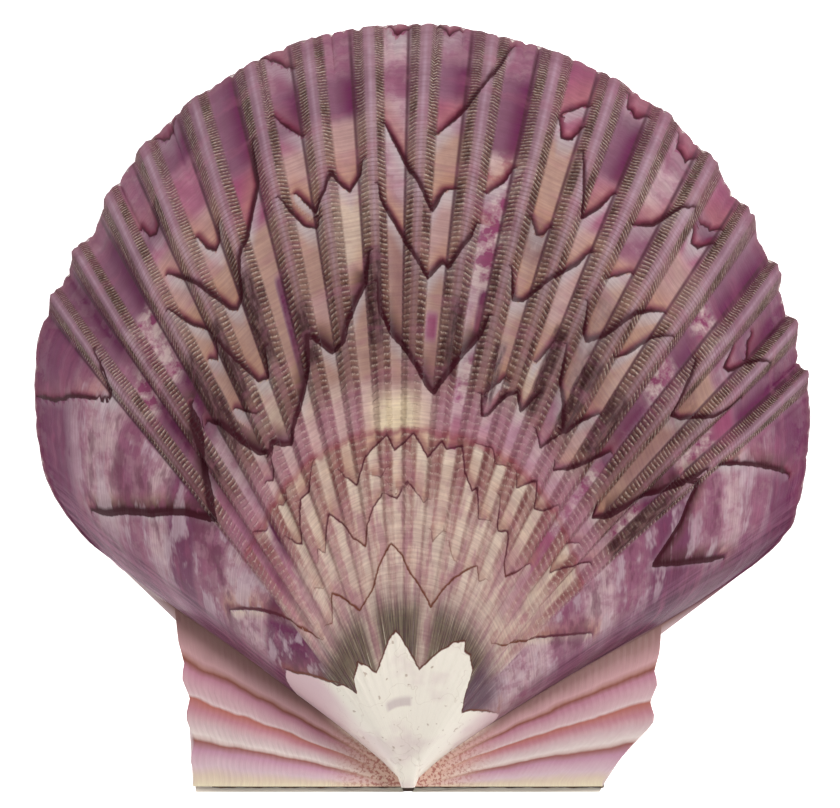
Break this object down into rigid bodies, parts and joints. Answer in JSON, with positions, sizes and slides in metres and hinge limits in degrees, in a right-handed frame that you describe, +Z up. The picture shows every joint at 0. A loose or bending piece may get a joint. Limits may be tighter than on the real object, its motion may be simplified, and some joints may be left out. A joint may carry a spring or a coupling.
{
  "type": "scallop shell",
  "caption": "Closed scallop shell lying on its lower valve: ribbed fan-shaped valves with two ears, joined along a straight hinge by a dark ligament.",
  "frame": {"origin": "centre of the bounding box in plan, on the surface that the shell lies on", "axes": "+X to the longer ear's side, +Y from the hinge towards the free margin, +Z up, out of the upper valve"},
  "size_m": [0.0904, 0.0894, 0.034],
  "materials": {
    "patterned_shell": "satin shell, purple and cream with dark zigzag lines",
    "pale_shell": "satin shell, pale pink to cream",
    "dark_ligament": "dry horny ligament, dark brown"
  },
  "bodies": {
    "root": {"upper_valve": "patterned_shell", "lower_valve": "pale_shell", "hinge_ligament": "dark_ligament"}
  },
  "joints": []
}
